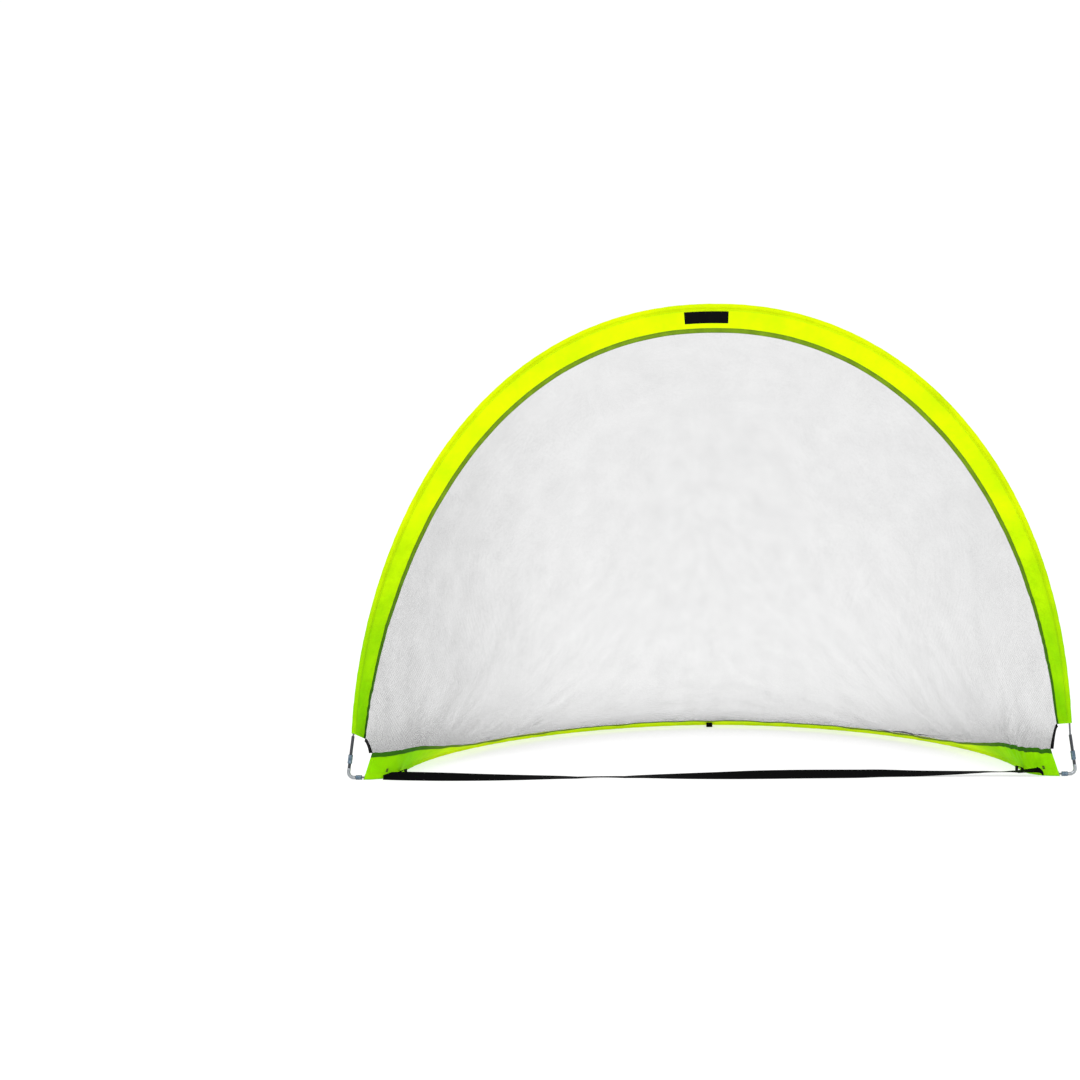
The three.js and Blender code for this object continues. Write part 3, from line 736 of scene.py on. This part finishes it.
def net_grid(columns, rows):
    """Points of the net: columns along the bands, rows from the arch down to the base."""
    above, below = ARCH.stations(columns), BASE.stations(columns)
    top, foot = ARCH.point(above, NET_EDGE), BASE.point(below, NET_EDGE)
    top_way, foot_way = ARCH.directions(above)[1], BASE.directions(below)[1]
    pulled = 1 - NET_PULL * np.exp(-BASE.run(below)[:, None] / NET_PULL_REACH)
    handle = NET_HANDLE * np.linalg.norm(foot - top, axis=-1, keepdims=True) * pulled
    t = np.linspace(0, 1, rows)[None, :, None]
    points = [top, top + top_way * handle, foot + foot_way * handle, foot]
    weights = [(1 - t) ** 3, 3 * t * (1 - t) ** 2, 3 * t * t * (1 - t), t**3]
    return sum(w * p[:, None] for w, p in zip(weights, points))


def net_slack(s, across, left):
    """How far the net stands off its even shape: gathers at both seams, and a slow swell."""
    head = 1.6 * MM * np.exp(-across / 0.06) * waves(s, across, pitch=0.08, lean=0.2, seed=32)
    foot = 2.6 * MM * np.exp(-left / 0.05) * waves(s, left, pitch=0.06, lean=0.3, seed=31)
    swell = 4 * MM * waves(s, left, pitch=0.9, lean=0.5, seed=33)
    gathers = foot * rise(left, 0, 6 * MM) + head * rise(across, 0, 6 * MM)
    return gathers + swell * rise(left, 0, 0.3) * rise(across, 0, 0.3)


def net_crease(x, left):
    """The fold in the net above the base hem on the right, between 0 and 1."""
    aside = x - NET_CREASE["x"]
    away = left - NET_CREASE["away"] - NET_CREASE["lean"] * aside
    fold = np.exp(-((away / NET_CREASE["width"]) ** 2) - (aside / NET_CREASE["length"]) ** 2)
    return fold * (x > 0)


def net_density(x, facing, left, crease):
    """How much the threads cover: more at the sides, at the seams, in the fold and seen edge on."""
    width = np.abs(x / x[0, 0])
    sides = np.where(x < 0, 0.12, 0.05) * rise(width, 0.35, 1.0)
    rear = 0.08 + 0.16 * (1 - rise(width, 0.5, 0.9))
    density = 0.17 + sides + 0.05 * (1 - rise(facing, 0.2, 0.8)) + 0.55 * crease
    return density + 0.22 * np.exp(-left / 0.035) + rear * np.exp(-left / 0.12)


def sheet_area(grid):
    """Area of the sheet, from the two triangles of each of its cells."""
    p, q, r, t = grid[:-1, :-1], grid[1:, :-1], grid[1:, 1:], grid[:-1, 1:]
    halves = np.cross(q - p, r - p), np.cross(r - p, t - p)
    return float(sum(np.linalg.norm(half, axis=-1).sum() / 2 for half in halves))


def net():
    """The mesh between the two hems, its area, and its length from one to the other."""
    grid = net_grid(NET_COLUMNS, NET_ROWS)
    normal = unit(np.cross(np.gradient(grid, axis=0), np.gradient(grid, axis=1)))
    span = np.linalg.norm(np.diff(grid, axis=1), axis=-1)
    across = np.concatenate([np.zeros((NET_COLUMNS, 1)), np.cumsum(span, axis=1)], 1)
    length = across[:, -1:]
    left = length - across  # distance up from the base hem
    s = BASE.stations(NET_COLUMNS)[:, None]
    crease = net_crease(grid[..., 0], left)
    grid = grid + normal * (net_slack(s, across, left) + NET_CREASE["depth"] * crease)[..., None]

    piece = grid_piece("net", grid, NET)
    along = s * (distance_along(grid[:, NET_ROWS // 2])[-1] / BASE.length)
    cloth_marks(piece, along, across, net_density(grid[..., 0], np.abs(normal[..., 1]), left, crease))
    off_seams = rise(left, 0, 8 * MM) * rise(across, 0, 8 * MM) * rise(BASE.run(s), 0, 30 * MM)
    fold_flat(piece, grid)
    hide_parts("net_panel")
    return piece, sheet_area(grid), float(length.max())


ARCH_SLEEVE, SLEEVE_GIRTH = sleeve("arch_sleeve_cloth", ARCH, arch_painted_shade, ARCH_ROWS, "arch_sleeve")
BASE_SLEEVE, _ = sleeve("base_sleeve_cloth", BASE, base_painted_shade, BASE_ROWS, "base_sleeve")
ARCH_HEM = hem("arch_hem_cloth", ARCH, arch_painted_shade, ARCH_ROWS, "arch_net_hem")
BASE_HEM = hem("base_hem_cloth", BASE, base_painted_shade, BASE_ROWS, "base_net_hem")
NET_SHEET, NET_AREA, NET_LENGTH = net()


def sew_band(name, band):
    """Rows of stitches along the pocket and the hem, and across both ends, on both faces."""
    along, across = band.stations(900), np.linspace(SEAM, BAND_WIDTH - 2 * MM, 60)
    for face, side in (("front", -1), ("back", 1)):
        seam(f"{name}_pocket_seam_{face}", band, along, SEAM + 1 * MM, side * ALONG_BAND, LIME_THREAD)
        seam(f"{name}_hem_seam_{face}", band, along, HEM_START + 2 * MM, side * ON_HEM, GREEN_THREAD)
    for end, distance in (("left", END_SEAM), ("right", band.length - END_SEAM)):
        for face, side in (("front", -1), ("back", 1)):
            seam(f"{name}_end_seam_{end}_{face}", band, distance, across, side * ACROSS_BAND, LIME_THREAD)


def bar_tacks():
    """Brown stitches that hold the front strap's ends to the base sleeve."""
    across = np.linspace(*TACK_SPAN, 60)
    for end, middle in (("left", TACK_LEFT), ("right", BASE.length - TACK_RIGHT)):
        for row in range(TACK_ROWS):
            distance = middle + (row - (TACK_ROWS - 1) / 2) * TACK_PITCH
            seam(f"bar_tack_{end}_{row}", BASE, distance, across, ACROSS_BAND, BROWN_THREAD, **TACK_STITCH)


sew_band("arch", ARCH)
sew_band("base", BASE)
bar_tacks()

# ---------------- corner fittings


def turned(name, profile, start, way, material):
    """A turned piece. The profile's points are (radius, distance) from start along way."""
    profile = np.asarray(profile, float)
    way = np.asarray(way, float)
    side = np.array([0.0, 1.0, 0.0])
    other = np.cross(way, side)
    angle = np.linspace(0, 2 * math.pi, 40, endpoint=False)[None, :, None]
    ring = side * np.cos(angle) + other * np.sin(angle)
    grid = np.asarray(start) + profile[:, 1, None, None] * way + profile[:, 0, None, None] * ring
    return grid_piece(name, grid, material, closed=True, looped=True)


def rolled_ends(outer, length, lip):
    """Quarter rounds at a wall's foot and head, as (radius, distance) points up the wall."""
    turn = np.linspace(0, math.pi / 2, 5)
    foot = [(outer - lip + lip * math.sin(t), lip - lip * math.cos(t)) for t in turn]
    head = [(outer - lip + lip * math.cos(t), length - lip + lip * math.sin(t)) for t in turn]
    return foot, head


def pipe_profile(inner, outer, length):
    """Tube with rounded lips, all the way round."""
    foot, head = rolled_ends(outer, length, 0.3 * MM)
    return [(inner, length), (inner, 0), *foot, *head]


def ferrule_profile(inner, outer, length):
    """Ferrule with rolled ends and two crimped grooves."""
    lip, depth, width = 1.1 * MM, 0.55 * MM, 0.8 * MM
    grooves = (0.3 * length, 0.7 * length)
    wall = []
    for t in np.linspace(lip, length - lip, 34):
        dip = sum(depth * math.exp(-(((t - groove) / width) ** 2)) for groove in grooves)
        wall.append((outer - dip, t))
    foot, head = rolled_ends(outer, length, lip)
    return [(inner, length), (inner, 0), *foot[:-1], *wall, *head[1:]]


def post_point(up):
    """Distance in from the corner and height of a point on the leaning post, up from its pivot."""
    return up * math.sin(POST_LEAN), POST_PIVOT_Z + up * math.cos(POST_LEAN)


def elbow(name, side):
    """Bent steel tube with a narrower neck at each end."""
    low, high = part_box(f"elbow_{name}")
    neck_end = CORNER_X - min(abs(low.x), abs(high.x))
    neck_top = (high.z - NECK_RADIUS * math.sin(POST_LEAN) - POST_PIVOT_Z) / math.cos(POST_LEAN)
    shoulder = UPPER_SHOULDER - POST_PIVOT_Z
    steps = [(neck_top, NECK_RADIUS)] + [(shoulder + past, radius) for past, radius in SHOULDER[::-1]]
    path = [(*post_point(up), radius) for up, radius in steps]
    bend = np.linspace(-POST_LEAN, math.pi / 2, 15)
    for turn in bend:
        x, z = ELBOW_BEND * (1 - math.cos(turn)), AXIS_Z + ELBOW_BEND * (1 - math.sin(turn))
        path.append((x, z, ELBOW_RADIUS))
    steps = [(LOWER_SHOULDER + past, radius) for past, radius in SHOULDER] + [(neck_end, NECK_RADIUS)]
    path += [(reach, AXIS_Z, radius) for reach, radius in steps]
    centres = np.array([(side * (CORNER_X - x), FRONT_Y, z) for x, z, _ in path])
    outside = tube(centres, np.array([radius for *_, radius in path]))
    in_bore = [0, *range(len(SHOULDER), len(SHOULDER) + len(bend) + 1), -1]
    inside = tube(centres[in_bore], ELBOW_BORE)
    grid = np.vstack([outside, inside[::-1]])
    piece = grid_piece(f"elbow_tube_{name}", grid, STEEL, closed=True, looped=True)
    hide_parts(f"elbow_{name}")
    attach(piece, "arch")


def on_post(node, profile, inner, outer, material, side):
    """A turned piece on the leaning post."""
    low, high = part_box(node)
    length = (high.z - low.z - 2 * outer * math.sin(POST_LEAN)) / math.cos(POST_LEAN)
    way = np.array([-side * math.sin(POST_LEAN), 0, math.cos(POST_LEAN)])
    middle_up = ((low.z + high.z) / 2 - POST_PIVOT_Z) / math.cos(POST_LEAN)
    x, z = post_point(middle_up)
    start = np.array([side * (CORNER_X - x), FRONT_Y, z]) - way * length / 2
    piece = turned(f"{node}_turned", profile(inner, outer, length), start, way, material)
    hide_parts(node)
    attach(piece, "arch")


def on_leg(node, profile, inner, outer, material, side):
    """A turned piece on the elbow's lower leg."""
    low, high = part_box(node)
    start = (low.x if side < 0 else high.x, FRONT_Y, AXIS_Z)
    outline = profile(inner, outer, high.x - low.x)
    piece = turned(f"{node}_turned", outline, start, (-side, 0, 0), material)
    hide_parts(node)
    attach(piece, "base")


def corner(name, side):
    """The fittings of one front corner."""
    elbow(name, side)
    on_post(f"neck_collar_{name}", pipe_profile, NECK_BORE, COLLAR_RADIUS, VINYL, side)
    on_post(f"upper_ferrule_{name}", ferrule_profile, NECK_BORE, FERRULE_RADIUS, ZINC, side)
    on_post(f"rod_tube_{name}", pipe_profile, TUBE_BORE, COLLAR_RADIUS, VINYL, side)
    on_leg(f"lower_ferrule_{name}", ferrule_profile, NECK_BORE, FERRULE_RADIUS, ZINC, side)


corner("left", -1)
corner("right", 1)

for node in ("arch_rod", "base_rod"):
    rod = frame["nodes"][node]
    rod.data.materials.clear()
    rod.data.materials.append(FIBREGLASS)

# ---------------- webbing


def tape_grid(centres, widthwise, outward, width, thickness, share=1.0):
    """Grid of a flat tape with rounded edges: widthwise and outward are its own directions.
    share gathers it to a part of its width, along its length."""
    half, r = width / 2, thickness / 2
    turn = np.linspace(-math.pi / 2, math.pi / 2, 5)
    right = [(half - r + r * math.cos(t), r * math.sin(t)) for t in turn]
    flat = np.linspace(half - r, r - half, 9)[1:-1]
    section = right + [(x, r) for x in flat] + [(-x, -z) for x, z in right] + [(-x, -r) for x in flat]
    section = np.array(section)
    share = np.broadcast_to(share, len(centres))[:, None, None]
    across = widthwise[:, None] * section[None, :, :1] * share
    return centres[:, None] + across + outward[:, None] * section[None, :, 1:], section


def tape_marks(piece, grid, section):
    """Marks a tape by the distance along it and across it."""
    cloth_marks(piece, distance_along(grid.mean(1))[:, None], section[:, 0][None], 0.5)


def front_strap():
    """Webbing that lies across the mouth with a lazy twist, sewn to the sleeve at both ends."""
    route = np.array(STRAP_ROUTE, float)
    x = np.linspace(route[0, 0], route[-1, 0], 620)
    line = smooth_curve(route[:, :3], 40)
    y, lift = (np.interp(x, line[:, 0], line[:, k]) for k in (1, 2))
    turns = smooth_curve(route[:, [0, 3]], 40)
    twist = np.radians(np.interp(x, turns[:, 0], turns[:, 1]))
    share = np.interp(x, route[:, 0], route[:, 4])
    flat = STRAP_THICKNESS / 2 * np.abs(np.cos(twist))
    on_edge = STRAP_WIDTH / 2 * share * np.abs(np.sin(twist))
    height = np.maximum(lift, 0) * MM + flat + on_edge
    centres = np.stack([x * MM, FRONT_Y + y * MM, height], -1)
    widthwise = np.stack([0 * x, np.cos(twist), np.sin(twist)], -1)
    outward = np.stack([0 * x, -np.sin(twist), np.cos(twist)], -1)
    grid, section = tape_grid(centres, widthwise, outward, STRAP_WIDTH, STRAP_THICKNESS, share)
    piece = grid_piece("front_strap_webbing", grid, WEBBING, closed=True, caps=True)
    tape_marks(piece, grid, section)
    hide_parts("front_strap")
    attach(piece, "base")


front_strap()


def eye_path(length, near, far, inset, corner):
    """Middle line of an eye's webbing, seen along the rod: distance from the rod and height."""
    top = near + (far - near) * np.array([inset, length - inset]) / length - inset
    points = np.array([(inset, inset), (length - inset, inset), (length - inset, top[1]), (inset, top[0])])
    t = np.linspace(0, 1, 7)[:, None]
    path = []
    for k, point in enumerate(points):
        neighbours = points[k - 1], points[(k + 1) % len(points)]
        start, end = (point + corner * unit(other - point) for other in neighbours)
        path.append((1 - t) ** 2 * start + 2 * t * (1 - t) * point + t * t * end)
    return np.vstack(path)


def peg_loop(name, distance, away, length, near, far):
    """Webbing folded into an eye for a ground peg, standing beside the sleeve's pocket."""
    c, w = BASE.line.at(distance)
    way = unit(np.array([w[1], -w[0], 0.0]))
    start = np.array([c[0], c[1], 0.0]) + way * (POCKET_RADIUS + away)
    path = eye_path(length, near, far, PEG_LOOP_WALL / 2, PEG_LOOP_CORNER)
    centres = start + path[:, :1] * way + path[:, 1:] * np.array([0, 0, 1.0])
    along = unit(np.roll(centres, -1, 0) - np.roll(centres, 1, 0))
    widthwise = np.broadcast_to(np.cross([0, 0, 1.0], way), centres.shape)
    outward = unit(np.cross(along, widthwise))
    grid, section = tape_grid(centres, widthwise, outward, PEG_LOOP_WIDTH, PEG_LOOP_WALL)
    piece = grid_piece(f"{name}_webbing", grid, WEBBING, closed=True, looped=True)
    tape_marks(piece, grid, section)
    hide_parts(name)
    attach(piece, "base")


SIDE_LOOP_RUN = LOOP_CORNER_RADIUS * SIDE_LOOP_TURN
peg_loop("peg_loop_left", SIDE_LOOP_RUN, **SIDE_LOOP)
peg_loop("peg_loop_right", BASE.length - SIDE_LOOP_RUN, **SIDE_LOOP)
peg_loop("peg_loop_rear", BASE.length / 2, **REAR_LOOP)


def strap_tail():
    """The strap's cut end, which hangs out below the right bar tack and narrows to a point."""
    t = np.linspace(0, 1, 14)[:, None]
    root = np.array(STRAP_ROUTE[-1][:3])
    start, end = root + TAIL_START, root + TAIL_END
    bow = np.array(TAIL_BOW) * np.sin(math.pi * t)
    centres = (start + (end - start) * t + bow) * MM + [0, FRONT_Y, 0]
    along = unit(np.gradient(centres, axis=0))
    outward = unit(np.cross(along, np.cross([0.1, -1.0, 0.2], along)))
    share = 0.08 + 0.5 * (1 - t[:, 0]) ** 0.8
    widthwise = np.cross(outward, along)
    grid, section = tape_grid(centres, widthwise, outward, STRAP_WIDTH, STRAP_THICKNESS, share)
    piece = grid_piece("front_strap_tail", grid, WEBBING, closed=True, caps=True)
    tape_marks(piece, grid, section)
    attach(piece, "base")


strap_tail()

# ---------------- bindings and patch


def binding(name, side):
    """Black tape folded over the cut corner of the net."""
    sheet = net_grid(NET_COLUMNS, BINDING_ROWS)
    edge, beside = (sheet[0], sheet[1]) if side < 0 else (sheet[-1], sheet[-2])
    outward = unit(edge - beside)
    along = unit(np.gradient(edge, axis=0))
    widthwise = unit(outward - along * np.sum(outward * along, -1, keepdims=True))
    centres = edge + widthwise * BINDING_MIDDLE
    facing = np.cross(along, widthwise)
    grid, section = tape_grid(centres, widthwise, facing, BINDING_WIDTH, BINDING_THICKNESS)
    piece = grid_piece(f"net_binding_{name}", grid, BINDING, closed=True, caps=True)
    tape_marks(piece, grid, section)
    fold_flat(piece, np.repeat(centres[:, None], len(section), 1))
    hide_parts(f"corner_binding_{name}")
    return piece


BINDINGS = [binding("left", -1), binding("right", 1)]


def crown_patch():
    """Plain woven patch with turned edges on the front of the arch band, at its top."""
    low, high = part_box("crown_patch")
    half = (high.x - low.x) / 2
    from_middle = np.linspace(-half, half, 60)[:, None]
    s = ARCH.length / 2 + from_middle
    a = np.linspace(PATCH_INNER, PATCH_OUTER, 16)[None]
    edge = np.minimum(half - np.abs(from_middle), np.minimum(a - PATCH_INNER, PATCH_OUTER - a))
    turned_edge = 0.25 * MM * np.exp(-(((edge - 2.2 * MM) / (0.9 * MM)) ** 2))
    puff = 0.5 * MM * rise(edge, 0, 1.5 * MM) + turned_edge
    grid = ARCH.point(s, a, -(BAND_LAYER + 0.3 * MM + puff))
    piece = grid_piece("crown_patch_woven", grid, PATCH)
    cloth_marks(piece, s, a, 0.5)
    fold_flat(piece, ARCH.point(s, a, rippled=False))
    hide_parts("crown_patch")


crown_patch()

# ---------------- studio


FLOOR_REACH = 60.0
FLOOR_GLOW, FLOOR_SHADE = 0.65, 0.42  # its own light, and how much of the studio's it returns
SURROUND_LIGHT = 1.03
KEY_LIGHT = {"place": (-2.5, -5.0, 4.5), "size": 3.0, "power": 150}
FILL_LIGHT = {"place": (3.5, -4.5, 3.0), "size": 3.5, "power": 60}
LIGHT_AIM = (0, 0, 0.4)

CAMERA_DISTANCE = 8.0  # in front of the goal line
CAMERA_HEIGHT = 1.3759
CAMERA_DOWN, CAMERA_ROLL, CAMERA_LEFT = 5.479, 0.811, 2.933  # degrees
SENSOR_WIDTH = 36
FOCAL_SHARE = 2.9635  # focal length as a part of the picture's width


def floor():
    """Pale sweep that glows a little, so that it meets the surroundings without a line."""
    data = bpy.data.meshes.new("floor")
    corners = [(x * FLOOR_REACH, y * FLOOR_REACH, 0) for x, y in ((-1, -1), (1, -1), (1, 1), (-1, 1))]
    data.from_pydata(corners, [], [(0, 1, 2, 3)])
    plane = bpy.data.objects.new("floor", data)
    bpy.context.scene.collection.objects.link(plane)
    white = {"Emission_Color": (1, 1, 1, 1), "Emission_Strength": FLOOR_GLOW}
    s = Shader("pale_floor", Specular_IOR_Level=0.0, **white)
    tint = s.between(s.noise(s.place(), 2.0, 3.0), 0.3, 0.7, 0.985, 1.0)
    grey = (FLOOR_SHADE, FLOOR_SHADE, FLOOR_SHADE, 1)
    data.materials.append(s.finish(Base_Color=s.scaled(grey, tint), Roughness=0.9))


def area_light(name, place, size, power):
    data = bpy.data.lights.new(name, "AREA")
    data.shape, data.size, data.energy = "DISK", size, power
    lamp = bpy.data.objects.new(name, data)
    lamp.location = place
    lamp.rotation_euler = (Vector(LIGHT_AIM) - Vector(place)).to_track_quat("-Z", "Y").to_euler()
    bpy.context.scene.collection.objects.link(lamp)


def studio():
    floor()
    world = bpy.data.worlds.new("studio")
    world.use_nodes = True
    background = world.node_tree.nodes["Background"]
    background.inputs["Color"].default_value = (1, 1, 1, 1)
    background.inputs["Strength"].default_value = SURROUND_LIGHT
    bpy.context.scene.world = world
    area_light("key", **KEY_LIGHT)
    area_light("fill", **FILL_LIGHT)
    bpy.context.scene.view_settings.view_transform = "Standard"


def camera():
    data = bpy.data.cameras.new("camera")
    data.sensor_width = SENSOR_WIDTH
    data.lens = SENSOR_WIDTH * FOCAL_SHARE
    viewer = bpy.data.objects.new("camera", data)
    viewer.location = (0, FRONT_Y - CAMERA_DISTANCE, CAMERA_HEIGHT)
    turns = (90 - CAMERA_DOWN, CAMERA_ROLL, CAMERA_LEFT)
    viewer.rotation_euler = [math.radians(x) for x in turns]
    bpy.context.scene.collection.objects.link(viewer)
    bpy.context.scene.camera = viewer


studio()
camera()
